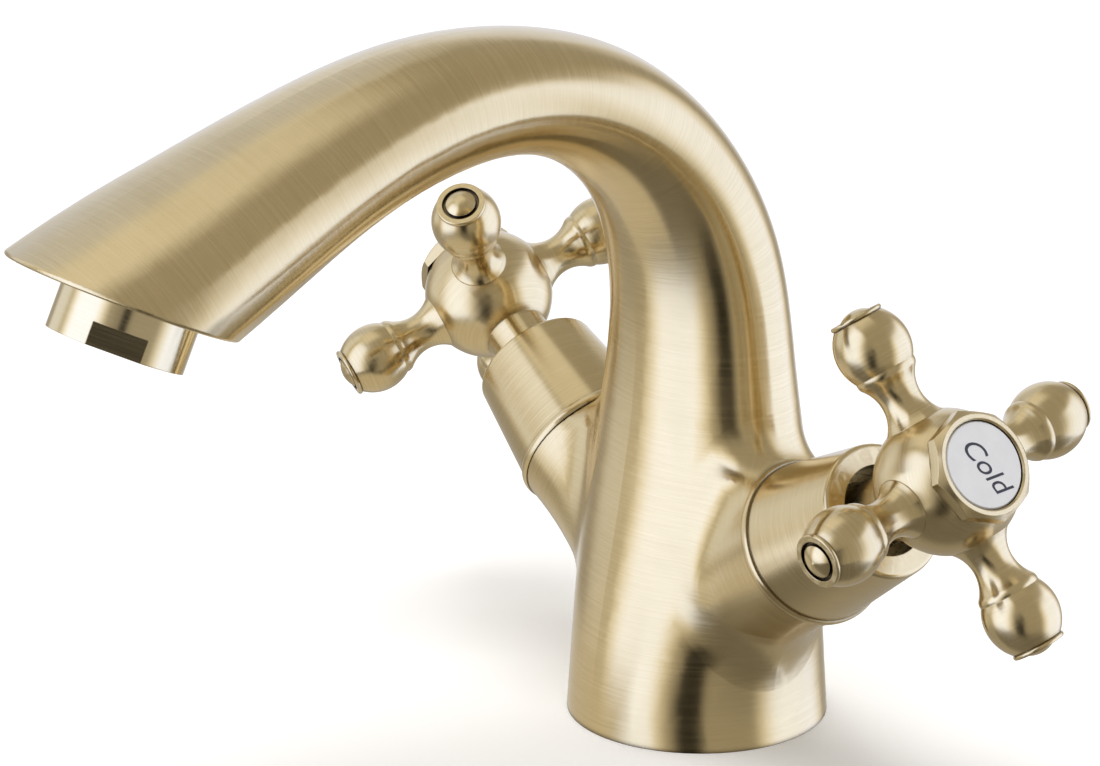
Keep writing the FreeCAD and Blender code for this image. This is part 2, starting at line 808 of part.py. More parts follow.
def make_sleeve(label, frame):
    """Conical cover: beaded foot, rounded front edge, skirt over the hexagon, collar on the headwork."""
    collar_bore = f"{half('headwork_neck_dia')} + dim.fixed_gap"
    bead_top = "dim.seat_reach + dim.bead_height"
    collar_top = "dim.seat_reach + dim.sleeve_collar_depth"
    skirt_top = "dim.seat_reach + dim.sleeve_skirt_depth"
    skirt_shoulder = f"{skirt_top} + {half('sleeve_skirt_bore')} - ({collar_bore})"
    finish(turned_body(label, [
        (half("sleeve_skirt_bore"), "dim.seat_reach"),
        (f"{half('bead_dia')} - dim.bead_undercut", "dim.seat_reach", "dim.bead_height", "out"),
        (f"{half('bead_dia')} - dim.bead_undercut", bead_top),
        (half("cone_foot_dia"), bead_top),
        (half("cone_front_dia"), "dim.sleeve_front - dim.front_round", "dim.front_round", "out"),
        (f"{half('cone_front_dia')} - dim.front_round", "dim.sleeve_front"),
        (half("sleeve_hole_dia"), "dim.sleeve_front"),
        (half("sleeve_hole_dia"), collar_top),
        (collar_bore, collar_top),
        (collar_bore, skirt_shoulder),
        (half("sleeve_skirt_bore"), skirt_top),
    ]), frame)


def make_headwork(label, frame):
    """Brass headwork: windowed barrel, thread, hexagon, neck, spindle bore and clip chamber."""
    bore = f"{half('spindle_dia')} + dim.running_gap"
    thread_foot = "dim.seat_reach - dim.thread_depth + dim.fixed_gap"
    body = turned_body(label, [
        (half("disc_chamber_dia"), "dim.headwork_foot_reach"),
        (half("headwork_barrel_dia"), "dim.headwork_foot_reach"),
        (half("headwork_barrel_dia"), thread_foot),
        (half("headwork_thread_dia"), thread_foot),
        (half("headwork_thread_dia"), "dim.hexagon_foot"),
        (half("headwork_neck_dia"), "dim.hexagon_foot"),
        (half("headwork_neck_dia"), "dim.headwork_top_reach"),
        (half("clip_chamber_dia"), "dim.headwork_top_reach"),
        (half("clip_chamber_dia"), "dim.clip_seat"),
        (bore, "dim.clip_seat"),
        (bore, "dim.disc_chamber_end"),
        (half("disc_chamber_dia"), "dim.disc_chamber_end"),
    ])
    hexagon = new_sketch(body, f"{label}_hexagon", "XY_Plane", {"z": "dim.hexagon_foot"})
    draw_polygon(hexagon, "dim.hexagon_width", "dim.hexagon_sides")
    draw_circle(hexagon, f"2 * ({bore})")
    extrude(body, hexagon, "dim.hexagon_height", "PartDesign::Pad")
    window = new_sketch(body, f"{label}_window", "YZ_Plane")
    reach = half("window_width")
    draw_box(window, f"-{reach}", "dim.window_start", reach, "dim.window_end")
    doc.recompute()
    repeat(body, extrude(body, window, "dim.headwork_barrel_dia", reverse=True), "dim.window_count")
    finish(body, frame)


def make_ring(label, frame, bore, outer, foot, top):
    finish(turned_body(label, [(bore, foot), (outer, foot), (outer, top), (bore, top)]), frame)


def make_ported_disc(label, frame, foot, top):
    """A ceramic valve disc with two round ports."""
    body = turned_body(label, [("0", foot), (half("disc_dia"), foot), (half("disc_dia"), top), ("0", top)])
    port = new_sketch(body, f"{label}_port", "XY_Plane", {"z": top})
    draw_circle(port, "dim.disc_port_dia", half("disc_port_circle"))
    doc.recompute()
    repeat(body, extrude(body, port, f"{top} - {foot}"), "dim.disc_port_count")
    finish(body, frame)


def make_spindle(label, frame):
    """Stem with its driving flange, two ring grooves, clip groove, spline end and tapped hole."""
    stem = half("spindle_dia")
    ring_floor = f"{stem} + dim.running_gap - dim.ring_section"
    clip_floor = f"{stem} - dim.clip_groove_depth"
    tap_floor = "dim.spline_end - dim.screw_tap_depth"
    outline = [
        ("0", "dim.moving_disc_top"),
        (half("spindle_flange_dia"), "dim.moving_disc_top"),
        (half("spindle_flange_dia"), "dim.flange_top"),
        (stem, "dim.flange_top"),
    ]
    for middle in ("dim.ring_first_reach", "dim.ring_second_reach"):
        low = f"{middle} - {half('ring_section')} - dim.fixed_gap"
        high = f"{middle} + {half('ring_section')} + dim.fixed_gap"
        outline += [(stem, low), (ring_floor, low), (ring_floor, high), (stem, high)]
    outline += [
        (stem, "dim.clip_foot"),
        (clip_floor, "dim.clip_foot"),
        (clip_floor, "dim.clip_top"),
        (stem, "dim.clip_top"),
        (stem, "dim.spline_start"),
        (half("spline_dia"), "dim.spline_start"),
        (half("spline_dia"), "dim.spline_end"),
        (half("screw_tap_dia"), "dim.spline_end"),
        (half("screw_tap_dia"), tap_floor),
        ("0", tap_floor),
    ]
    finish(turned_body(label, outline), frame)


def make_o_rings(label, frame):
    """Two rubber rings in the stem's grooves, kept together as one node."""
    rings = []
    for order, reach in (("first", "dim.ring_first_reach"), ("second", "dim.ring_second_reach")):
        ring = doc.addObject("Part::Torus", f"{label}_{order}")
        middle = f"{half('spindle_dia')} - {half('ring_section')} + {half('running_gap')}"
        ring.setExpression("Radius1", middle)
        ring.setExpression("Radius2", f"{half('ring_section')} - {half('running_gap')}")
        ring.setExpression("Placement.Base.z", reach)
        rings.append(ring)
    pair = doc.addObject("Part::Compound", label)
    pair.Links = rings
    finish(pair, frame)


def make_hub(label, frame):
    """Ball hub: neck with the spline bore, screw well, bezel well, four flats with arm sockets."""
    ball = half("hub_dia")
    neck = half("neck_dia")
    front_radius = f"sqrt(({ball}) ^ 2 - dim.hub_front ^ 2)"
    ball_foot = f"dim.hub_reach - sqrt(({ball}) ^ 2 - ({neck}) ^ 2)"
    spline_bore = f"{half('spline_dia')} + dim.fixed_gap"
    spline_floor = "dim.spline_end + dim.fixed_gap"
    well_floor = "dim.hub_face - dim.bezel_well_depth"
    body = turned_body(label, [
        (spline_bore, "dim.neck_end"),
        (neck, "dim.neck_end"),
        (neck, ball_foot, ball, "out"),
        (ball, "dim.hub_reach", ball, "out"),
        (front_radius, "dim.hub_face"),
        (half("bezel_well_dia"), "dim.hub_face"),
        (half("bezel_well_dia"), well_floor),
        (half("screw_well_dia"), well_floor),
        (half("screw_well_dia"), "dim.screw_seat"),
        (half("screw_hole_dia"), "dim.screw_seat"),
        (half("screw_hole_dia"), spline_floor),
        (spline_bore, spline_floor),
    ])
    flats = new_sketch(body, f"{label}_flats", "XY_Plane", {"z": f"dim.hub_reach - {ball}"})
    far = half("flat_cutter")
    draw_box(flats, f"-{far}", f"-{far}", far, far)
    draw_box(flats, "-dim.hub_flat", "-dim.hub_flat", "dim.hub_flat", "dim.hub_flat")
    extrude(body, flats, "dim.hub_dia", reverse=True)
    socket = new_sketch(body, f"{label}_socket", "YZ_Plane", {"y": "dim.hub_reach", "z": "dim.hub_flat"})
    draw_circle(socket, "dim.stud_dia + 2 * dim.fixed_gap")
    doc.recompute()
    repeat(body, extrude(body, socket, "dim.arm_socket_depth"), "dim.arm_count")
    finish(body, frame)


def make_arm(label, frame):
    """Turned arm: screwed stud, flared foot, waist, bead, bulb, end rim and domed button."""
    stud_end = "dim.hub_flat - dim.stud_length"
    rim_top = "dim.bulb_end + dim.rim_height"
    groove_floor = f"{rim_top} - dim.button_groove"
    finish(turned_body(label, [
        ("0", stud_end),
        (half("stud_dia"), stud_end),
        (half("stud_dia"), "dim.hub_flat"),
        (half("foot_rim_dia"), "dim.hub_flat", "dim.waist_curve", "in"),
        (half("bead_start_dia"), "dim.bead_start", "dim.bead_curve", "out"),
        (half("bead_end_dia"), "dim.bead_end", "dim.bulb_curve", "out"),
        (half("bulb_end_dia"), "dim.bulb_end"),
        (half("rim_dia"), "dim.bulb_end", "dim.rim_curve", "out"),
        (half("rim_dia"), rim_top),
        (half("rim_bore"), rim_top),
        (half("rim_bore"), groove_floor),
        (half("button_dia"), groove_floor),
        (half("button_dia"), rim_top, "dim.button_curve", "out"),
        ("0", "dim.button_top"),
    ]), frame)


def make_screw(label, frame):
    """Slotted screw that draws the hub onto the stem."""
    head_top = "dim.screw_seat + dim.screw_head_height"
    tip = "dim.screw_seat - dim.screw_length"
    body = turned_body(label, [
        ("0", tip),
        (half("screw_dia"), tip),
        (half("screw_dia"), "dim.screw_seat"),
        (half("screw_head_dia"), "dim.screw_seat"),
        (half("screw_head_dia"), head_top),
        ("0", head_top),
    ])
    slot = new_sketch(body, f"{label}_slot", "XY_Plane", {"z": head_top})
    reach = half("screw_slot_width")
    draw_box(slot, "-dim.screw_head_dia", f"-{reach}", "dim.screw_head_dia", reach)
    extrude(body, slot, "dim.screw_slot_depth")
    finish(body, frame)


def make_bezel(label, frame):
    """Eight-sided ring, its front turned round, with a seat for the index disc and a skirt in the hub."""
    front = "dim.bezel_front"
    flat_radius = half("bezel_width")
    front_radius = f"({flat_radius} - dim.bezel_bevel)"
    corner_radius = f"{flat_radius} / cos({HALF_TURN} / dim.bezel_sides)"
    bevel_reach = f"({corner_radius} - {front_radius} + dim.bezel_bevel)"
    seat_radius = f"({half('index_dia')} + dim.fixed_gap)"
    body = new_body(label)
    ring = new_sketch(body, f"{label}_ring", "XY_Plane", {"z": "dim.hub_face"})
    draw_polygon(ring, "dim.bezel_width", "dim.bezel_sides")
    extrude(body, ring, "dim.bezel_height", "PartDesign::Pad")
    skirt = new_sketch(body, f"{label}_skirt", "XY_Plane", {"z": "dim.hub_face"})
    draw_circle(skirt, "dim.bezel_skirt_dia")
    extrude(body, skirt, "dim.bezel_skirt_length", "PartDesign::Pad", reverse=True)
    bevel = new_sketch(body, f"{label}_bevel", "XZ_Plane")
    turn(body, draw_outline(bevel, [
        (front_radius, front),
        (f"{front_radius} + {bevel_reach}", f"{front} - {bevel_reach}"),
        (f"{front_radius} + {bevel_reach}", front),
    ]), "PartDesign::Groove")
    seat = new_sketch(body, f"{label}_seat", "XZ_Plane")
    turn(body, draw_outline(seat, [
        ("0", f"{front} - dim.disc_seat_depth"),
        (seat_radius, f"{front} - dim.disc_seat_depth"),
        (seat_radius, f"{front} - dim.bezel_lip_bevel"),
        (f"{seat_radius} + dim.bezel_lip_bevel", front),
        ("0", front),
    ]), "PartDesign::Groove")
    bore = new_sketch(body, f"{label}_bore", "XY_Plane", {"z": front})
    draw_circle(bore, "dim.bezel_bore")
    extrude(body, bore, "dim.bezel_height + dim.bezel_skirt_length")
    finish(body, frame.multiply(about_axis("bezel_turn")))


def make_index_disc(label, frame):
    """White disc with a bevelled front edge."""
    top = "dim.index_foot + dim.index_height"
    finish(turned_body(label, [
        ("0", "dim.index_foot"),
        (half("index_dia"), "dim.index_foot"),
        (half("index_dia"), f"{top} - dim.index_edge"),
        (f"{half('index_dia')} - dim.index_edge", top),
        ("0", top),
    ]), frame)


def make_side(name, side):
    """Everything on one valve axis: first what stays with the casting, then what turns."""
    fixed = valve_frame(side)
    shut = fixed.multiply(about_axis("shut_turn"))
    handle = fixed.multiply(about_axis(f"{name}_spin"))

    make_sleeve(f"{name}_valve_sleeve", fixed)
    make_headwork(f"{name}_headwork_body", fixed)
    make_ring(f"{name}_headwork_washer", fixed, f"{half('headwork_thread_dia')} + dim.fixed_gap",
              half("headwork_washer_dia"), "dim.seat_reach", "dim.hexagon_foot")
    make_ring(f"{name}_seat_seal", fixed, half("seat_seal_bore"), half("seat_seal_dia"),
              "dim.bore_floor_reach", "dim.seal_top")
    make_ported_disc(f"{name}_fixed_ceramic_disc", fixed, "dim.seal_top", "dim.fixed_disc_top")

    make_ported_disc(f"{name}_moving_ceramic_disc", shut, "dim.moving_disc_foot", "dim.moving_disc_top")
    make_spindle(f"{name}_spindle", handle)
    make_o_rings(f"{name}_spindle_o_rings", handle)
    clip_bore = f"{half('spindle_dia')} - dim.clip_groove_depth + dim.running_gap"
    make_ring(f"{name}_spindle_clip", handle, clip_bore, half("clip_dia"), "dim.clip_foot", "dim.clip_top")
    make_hub(f"{name}_handle_hub", handle)
    hub_centre = FreeCAD.Vector(0, 0, value("dim.hub_reach"))
    outward = FreeCAD.Rotation(ALONG_Y, QUARTER_TURN)
    arm_count = round(value("dim.arm_count"))
    for index in range(arm_count):
        around = FreeCAD.Rotation(UP, FULL_TURN * index / arm_count).multiply(outward)
        make_arm(f"{name}_handle_arm_{index + 1}", handle.multiply(FreeCAD.Placement(hub_centre, around)))
    make_screw(f"{name}_handle_screw", handle)
    make_bezel(f"{name}_index_bezel", handle)
    make_index_disc(f"{name}_index_disc", handle)


make_side("cold", COLD_SIDE)
make_side("hot", HOT_SIDE)


# Recompute, check every object and write each sub-part

CUTS = ("PartDesign::Pocket", "PartDesign::Groove")

doc.recompute()
for item in doc.Objects:
    if "Invalid" in item.State or "Error" in item.State:
        raise RuntimeError(f"{item.Label} failed: {item.State}")
    if item.TypeId in CUTS and item.Shape.Volume >= item.BaseFeature.Shape.Volume:
        raise RuntimeError(f"{item.Label} cuts nothing away")
for node in nodes:
    if node.Shape.isNull() or not node.Shape.isValid():
        raise RuntimeError(f"{node.Label} has no valid shape")

os.makedirs("parts", exist_ok=True)
for node in nodes:
    node.Shape.exportStep(f"parts/{node.Label}.step")
    print(node.Label, len(node.Shape.Solids), round(node.Shape.Volume, 1))
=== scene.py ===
import bpy
import math
from mathutils import Matrix, Vector


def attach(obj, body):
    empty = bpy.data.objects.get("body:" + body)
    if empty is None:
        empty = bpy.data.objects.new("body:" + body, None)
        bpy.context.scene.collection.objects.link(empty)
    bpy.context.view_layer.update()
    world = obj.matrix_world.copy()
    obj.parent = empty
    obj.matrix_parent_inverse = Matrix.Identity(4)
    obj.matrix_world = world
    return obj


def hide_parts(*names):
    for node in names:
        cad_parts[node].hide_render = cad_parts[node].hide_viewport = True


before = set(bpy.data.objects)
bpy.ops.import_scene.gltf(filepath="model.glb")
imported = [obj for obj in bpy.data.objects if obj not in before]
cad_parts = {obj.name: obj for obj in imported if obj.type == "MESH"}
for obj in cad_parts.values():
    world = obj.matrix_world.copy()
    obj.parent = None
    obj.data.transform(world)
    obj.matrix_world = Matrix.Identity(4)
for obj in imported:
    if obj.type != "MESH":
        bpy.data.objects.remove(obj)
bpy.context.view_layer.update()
bpy.ops.object.select_all(action="DESELECT")

# ---------------------------------------------------------------------------------------------
# Base gasket: a ring of black rubber, moulded and pressed into the groove under the foot.
# It keeps water from running under the mixer and is out of sight once the mixer stands.
# ---------------------------------------------------------------------------------------------

MM = 0.001
NOISE_RANGE = (0.3, 0.7)
WHOLE_RANGE = (0.0, 1.0)
RUBBER_BLACK = (0.010, 0.010, 0.011, 1.0)
RUBBER_GREY = (0.032, 0.031, 0.030, 1.0)
RUBBER_ROUGHNESS = (0.55, 0.75)
RUBBER_GRAIN = 900.0
RUBBER_GRAIN_DEPTH = 0.02 * MM


def feed(tree, socket, value):
    """Fills a shader socket with another node's output or with a fixed value."""
    if isinstance(value, bpy.types.NodeSocket):
        tree.links.new(value, socket)
    elif value is not None:
        socket.default_value = value


def add(tree, kind, *feeds, result=0, named=None, **options):
    """Adds one shader node, sets its options, feeds its sockets and gives back one output."""
    node = tree.nodes.new("ShaderNode" + kind)
    for option, choice in options.items():
        setattr(node, option, choice)
    for socket, value in zip(node.inputs, feeds):
        feed(tree, socket, value)
    for name, value in (named or {}).items():
        feed(tree, node.inputs[name], value)
    return node.outputs[result]


def point_on(tree):
    """The point on the piece, in metres from the mixer's origin."""
    return add(tree, "TexCoord", result=3)


def noise(tree, point, scale, detail=3.0, roughness=0.6):
    """A cloudy grain. Most of it lies in NOISE_RANGE."""
    return add(tree, "TexNoise", point, None, scale, detail, roughness)


def carry(tree, value, reach, result=WHOLE_RANGE):
    """Carries a value from one range to another and holds it there."""
    return add(tree, "MapRange", value, *reach, *result)


def shade(tree, value, first, second, reach=NOISE_RANGE):
    """Goes from the first colour to the second while the value goes through its range."""
    colour = add(tree, "ValToRGB", value)
    for mark, position, tint in zip(colour.node.color_ramp.elements, reach, (first, second)):
        mark.position = position
        mark.color = tint
    return colour


def relief(tree, height, depth, normal=None):
    """A surface normal for a fine relief of the given depth."""
    return add(tree, "Bump", named={"Distance": depth, "Height": height, "Normal": normal})


def finish(name, make, *sizes):
    """A material whose surface sockets are filled with what make(tree, ...) gives back."""
    material = bpy.data.materials.new(name)
    material.use_nodes = True
    tree = material.node_tree
    tree.nodes.clear()
    surface = add(tree, "BsdfPrincipled", named=make(tree, *sizes))
    output = tree.nodes.new("ShaderNodeOutputMaterial")
    tree.links.new(surface, output.inputs["Surface"])
    return material


def dress(material, *names):
    """Gives the named pieces of the frame their finish."""
    for name in names:
        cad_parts[name].material_slots[0].material = material


def moulded_rubber(tree):
    grain = noise(tree, point_on(tree), RUBBER_GRAIN)
    return {
        "Base Color": shade(tree, grain, RUBBER_BLACK, RUBBER_GREY),
        "Roughness": carry(tree, grain, NOISE_RANGE, RUBBER_ROUGHNESS),
        "Normal": relief(tree, grain, RUBBER_GRAIN_DEPTH),
    }


rubber = finish("moulded_rubber", moulded_rubber)
dress(rubber, "base_gasket")

# ---------------------------------------------------------------------------------------------
# Body casting: foot, column, swan spout and both valve arms, cast in one piece of brass.
# A belt brushes it round its girth, and a brown antique tone is left in the finest lines.
# ---------------------------------------------------------------------------------------------

BRASS_LIGHT = (0.765, 0.605, 0.325, 1.0)
BRASS_DEEP = (0.655, 0.510, 0.258, 1.0)
# This brown is the antique tone left in the crevices. On the headworks and spindles it is also
# painted shade.
PATINA_AND_SHADE_BROWN = (0.045, 0.026, 0.012, 1.0)
BRUSH_LENGTH_SCALE = 70.0
BRUSH_FINENESS = 45.0
BRUSH_DETAIL = 3.0
BRUSH_BREAKS = 0.7
BRUSH_DEPTH = 0.0010 * MM
BRUSH_RANGE = (0.35, 0.65)
BELT_ROUGHNESS = (0.18, 0.25)
BELT_STRETCH = 0.85
TONE_SCALE = 38.0
TONE_DETAIL = 4.0
TONE_SHARE = 0.4
EDGE_WEAR = 0.25 * MM
EDGE_SAMPLES = 4
CREVICE_REACH = 1.3 * MM
CREVICE_RANGE = (0.45, 0.90)
CREVICE_SAMPLES = 8
LACQUER = {"Coat Weight": 0.25, "Coat Roughness": 0.14, "Coat IOR": 1.5}
BEND_CENTRE = (-47.84 * MM, 81.27 * MM)
BEND_RADIUS = 46.7 * MM
BROW_CENTRE = (-47.84 * MM, 37.97 * MM)
BROW_RADIUS = 90.0 * MM
NOSE_DROP = math.radians(25.0)
VALVE_HEIGHT = 22.4 * MM
VALVE_TILT = math.radians(31.0)
VALVE_ARM_FOOT = (22.0 * MM, 27.0 * MM)


def reckon(tree, operation, *feeds):
    return add(tree, "Math", *feeds, operation=operation)


def blend(tree, share, first, second):
    """The first colour at share 0, the second at share 1."""
    mixed = add(tree, "Mix", share, data_type="RGBA", result=2)
    feed(tree, mixed.node.inputs[6], first)
    feed(tree, mixed.node.inputs[7], second)
    return mixed


def brush_lines(tree, point, station):
    """Fine broken lines that run where the station along the piece stays the same."""
    spread = reckon(tree, "MULTIPLY", station, BRUSH_FINENESS)
    return add(tree, "TexNoise", point, spread, BRUSH_LENGTH_SCALE, BRUSH_DETAIL, BRUSH_BREAKS,
               noise_dimensions="4D")


def follow(tree, direction):
    """A direction of the piece at rest, turned with the body that the piece rides on."""
    return add(tree, "VectorTransform", direction, vector_type="VECTOR",
               convert_from="OBJECT", convert_to="WORLD")


def openness(tree, reach):
    """1 on an open surface, less where other surfaces stand within reach."""
    return add(tree, "AmbientOcclusion", None, reach, samples=CREVICE_SAMPLES, result=1)


def worn_edges(tree):
    """A surface normal that rounds sharp edges, as wear does."""
    return add(tree, "Bevel", EDGE_WEAR, samples=EDGE_SAMPLES)


def antique_brass(tree, lay, roughness):
    """Brushed brass: lay gives the height of the brush lines and the direction across them."""
    point = point_on(tree)
    lines, across = lay(tree, point)
    tone = noise(tree, point, TONE_SCALE, TONE_DETAIL)
    mottle = reckon(tree, "ADD", reckon(tree, "MULTIPLY", lines, 1.0 - TONE_SHARE),
                    reckon(tree, "MULTIPLY", tone, TONE_SHARE))
    clean = shade(tree, mottle, BRASS_DEEP, BRASS_LIGHT, BRUSH_RANGE)
    worn = carry(tree, openness(tree, CREVICE_REACH), CREVICE_RANGE)
    return {
        "Base Color": blend(tree, worn, PATINA_AND_SHADE_BROWN, clean),
        "Metallic": 1.0,
        "Roughness": carry(tree, lines, NOISE_RANGE, roughness),
        "Anisotropic": BELT_STRETCH,
        "Tangent": follow(tree, across),
        "Normal": relief(tree, lines, BRUSH_DEPTH, worn_edges(tree)),
        **LACQUER,
    }


def casting_lay(tree, point):
    """Lines round the column, the bend, the brow and the nose, and round the valve arms."""
    x, y, z = add(tree, "SeparateXYZ", point).node.outputs
    back = reckon(tree, "SUBTRACT", y, BEND_CENTRE[0])
    bend_rise = reckon(tree, "SUBTRACT", z, BEND_CENTRE[1])
    brow_rise = reckon(tree, "SUBTRACT", z, BROW_CENTRE[1])
    quarter = math.pi / 2
    front_half = reckon(tree, "LESS_THAN", back, 0.0)
    bend_turn = carry(tree, reckon(tree, "ARCTAN2", bend_rise, back),
                      (0.0, quarter), (0.0, quarter))
    brow_turn = carry(tree, reckon(tree, "ARCTAN2", brow_rise, back),
                      (quarter, quarter + NOSE_DROP), (0.0, NOSE_DROP))
    front_turn = reckon(tree, "MULTIPLY", front_half, brow_turn)
    turn = reckon(tree, "ADD", front_turn, add(
        tree, "Mix", front_half, named={"A": bend_turn, "B": quarter}))
    sine = reckon(tree, "SINE", turn)
    cosine = reckon(tree, "COSINE", turn)
    spine = add(tree, "CombineXYZ", 0.0, reckon(tree, "MULTIPLY", sine, -1.0), cosine)
    low_part = reckon(tree, "MINIMUM", z, BEND_CENTRE[1])
    nose_start = (0.0, BROW_CENTRE[0] - BROW_RADIUS * math.sin(NOSE_DROP),
                  BROW_CENTRE[1] + BROW_RADIUS * math.cos(NOSE_DROP))
    nose_axis = (0.0, -math.cos(NOSE_DROP), -math.sin(NOSE_DROP))
    from_brow = add(tree, "VectorMath", point, nose_start, operation="SUBTRACT")
    nose_part = reckon(tree, "MAXIMUM", 0.0, add(
        tree, "VectorMath", from_brow, nose_axis, operation="DOT_PRODUCT", result=1))
    station = reckon(tree, "ADD", low_part, nose_part)
    station = reckon(tree, "MULTIPLY_ADD", turn, BEND_RADIUS, station)
    station = reckon(tree, "MULTIPLY_ADD", front_turn, BROW_RADIUS - BEND_RADIUS, station)
    side = reckon(tree, "ABSOLUTE", x)
    arm_station = reckon(tree, "ADD",
                         reckon(tree, "MULTIPLY", side, math.cos(VALVE_TILT)),
                         reckon(tree, "MULTIPLY", z, math.sin(VALVE_TILT)))
    arm_axis = add(tree, "CombineXYZ",
                   reckon(tree, "MULTIPLY", reckon(tree, "SIGN", x), math.cos(VALVE_TILT)),
                   0.0, math.sin(VALVE_TILT))
    low_down = reckon(tree, "LESS_THAN", z, BEND_CENTRE[1])
    on_arm = reckon(tree, "MULTIPLY", low_down, carry(tree, side, VALVE_ARM_FOOT))
    lines = add(tree, "Mix", on_arm, named={
        "A": brush_lines(tree, point, station),
        "B": brush_lines(tree, point, arm_station)})
    across = add(tree, "Mix", on_arm, data_type="VECTOR", result=1)
    feed(tree, across.node.inputs[4], spine)
    feed(tree, across.node.inputs[5], arm_axis)
    return lines, across


dress(finish("casting_brass", antique_brass, casting_lay, BELT_ROUGHNESS), "body_casting")

# ---------------------------------------------------------------------------------------------
# Aerator: a brass collar, turned, polished and milled with two flats for its key, screwed into
# the mouth on a rubber washer. It holds a moulded plastic jet former under a steel screen.
# ---------------------------------------------------------------------------------------------

POLISH_LIGHT = (0.770, 0.640, 0.385, 1.0)
POLISH_DEEP = (0.745, 0.610, 0.355, 1.0)
POLISH_ROUGHNESS = (0.14, 0.18)
POLISH_STRETCH = 0.3
POLISH_CREVICE_RANGE = (0.25, 0.70)
PLASTIC_WHITE = (0.760, 0.760, 0.740, 1.0)
PLASTIC_SHADE = (0.640, 0.640, 0.610, 1.0)
PLASTIC_ROUGHNESS = (0.35, 0.50)
PLASTIC_GRAIN = 600.0
STEEL_LIGHT = (0.620, 0.620, 0.610, 1.0)
STEEL_DARK = (0.380, 0.380, 0.385, 1.0)
WIRE_PITCH = 0.7 * MM
WIRE_RANGE = (0.2, 0.8)
WIRE_ROUGHNESS = (0.45, 0.25)
WAVE_TURN = 20.0  # radians that the wave texture turns per unit at scale 1
OUTLET_CENTRE = Vector((0.0, -120.8, 101.2)) * MM
OUTLET_AXIS = Vector((0.0, -math.sin(NOSE_DROP), -math.cos(NOSE_DROP)))
COLLAR_RADIUS = 12.4 * MM
COLLAR_HEIGHT = 8.7 * MM
COLLAR_EDGE = 0.5 * MM
COLLAR_EDGE_STEPS = 2
COLLAR_SIDES = 192
COLLAR_SMOOTH = math.radians(12.0)
THREAD_RADIUS = 11.9 * MM
THREAD_LENGTH = 7.0 * MM
BORE_RADIUS = 10.3 * MM
LIP_RADIUS = 9.4 * MM
LIP_HEIGHT = 1.4 * MM
KEY_FLAT_WIDTH = 9.8 * MM
KEY_FLAT_HEIGHT = 4.1 * MM
KEY_FLAT_LOOK = Vector((0.846, -0.482, 0.225))
OVERCUT = 5.0 * MM


def own_axes(tree, point, foot, axis):
    """The point measured from the foot, with Z along the axis."""
    turn = axis.to_track_quat("Z", "Y").to_euler()
    return add(tree, "Mapping", point, foot, turn, vector_type="TEXTURE")


def turned_lay(foot, axis):
    """Lines left by a lathe or a belt round one axis."""
    def lay(tree, point):
        station = add(tree, "SeparateXYZ", own_axes(tree, point, foot, axis), result=2)
        return brush_lines(tree, point, station), tuple(axis)
    return lay


def polished_brass(tree, lay):
    lines, across = lay(tree, point_on(tree))
    worn = carry(tree, openness(tree, CREVICE_REACH), POLISH_CREVICE_RANGE)
    clean = shade(tree, lines, POLISH_DEEP, POLISH_LIGHT, BRUSH_RANGE)
    return {
        "Base Color": blend(tree, worn, PATINA_AND_SHADE_BROWN, clean),
        "Metallic": 1.0,
        "Roughness": carry(tree, lines, NOISE_RANGE, POLISH_ROUGHNESS),
        "Anisotropic": POLISH_STRETCH,
        "Tangent": follow(tree, across),
        "Normal": worn_edges(tree),
    }


def moulded_plastic(tree):
    grain = noise(tree, point_on(tree), PLASTIC_GRAIN)
    return {
        "Base Color": shade(tree, grain, PLASTIC_SHADE, PLASTIC_WHITE),
        "Roughness": carry(tree, grain, NOISE_RANGE, PLASTIC_ROUGHNESS),
    }


def woven_steel(tree):
    """Wires that cross at a right angle in the plane of the screen."""
    flat = own_axes(tree, point_on(tree), OUTLET_CENTRE, OUTLET_AXIS)
    wires = [add(tree, "TexWave", flat, math.tau / (WAVE_TURN * WIRE_PITCH), 0.0, result=1,
                 bands_direction=way) for way in "XY"]
    weave = reckon(tree, "MAXIMUM", *wires)
    return {
        "Base Color": shade(tree, weave, STEEL_DARK, STEEL_LIGHT, WIRE_RANGE),
        "Metallic": 1.0,
        "Roughness": carry(tree, weave, WHOLE_RANGE, WIRE_ROUGHNESS),
    }


def set_in_place(piece):
    """Puts the piece's place, turn and size into its mesh."""
    bpy.ops.object.select_all(action="DESELECT")
    piece.select_set(True)
    bpy.context.view_layer.objects.active = piece
    bpy.ops.object.transform_apply(location=True, rotation=True, scale=True)


def round_bar(name, radius, low, high):
    """A plain cylinder about Z from one height to another."""
    bpy.ops.mesh.primitive_cylinder_add(vertices=COLLAR_SIDES, radius=radius, depth=high - low,
                                        location=(0.0, 0.0, (low + high) / 2))
    bar = bpy.context.object
    bar.name = name
    set_in_place(bar)
    return bar


def milling_block(name, near, far, low, high):
    """A square block beside the axis, for a cut along a flat."""
    bpy.ops.mesh.primitive_cube_add(size=1.0, location=((near + far) / 2, 0.0, (low + high) / 2))
    block = bpy.context.object
    block.name = name
    block.scale = (abs(far - near), 2 * COLLAR_RADIUS, high - low)
    set_in_place(block)
    return block


def work(piece, tool, operation):
    """Joins a tool's shape to the piece or cuts it from the piece, and clears the tool away."""
    step = piece.modifiers.new(tool.name, "BOOLEAN")
    step.operation = operation
    step.object = tool
    bpy.context.view_layer.objects.active = piece
    bpy.ops.object.modifier_apply(modifier=step.name)
    bpy.data.objects.remove(tool)


def break_edge(piece, level, width):
    """A narrow rounding round the end face above one height."""
    for face in piece.data.polygons:
        face.select = face.center.z > level
    bpy.context.view_layer.objects.active = piece
    bpy.ops.object.mode_set(mode="EDIT")
    bpy.ops.mesh.select_mode(type="FACE")
    bpy.ops.mesh.region_to_loop()
    bpy.ops.mesh.bevel(offset=width, segments=COLLAR_EDGE_STEPS, affect="EDGES")
    bpy.ops.object.mode_set(mode="OBJECT")


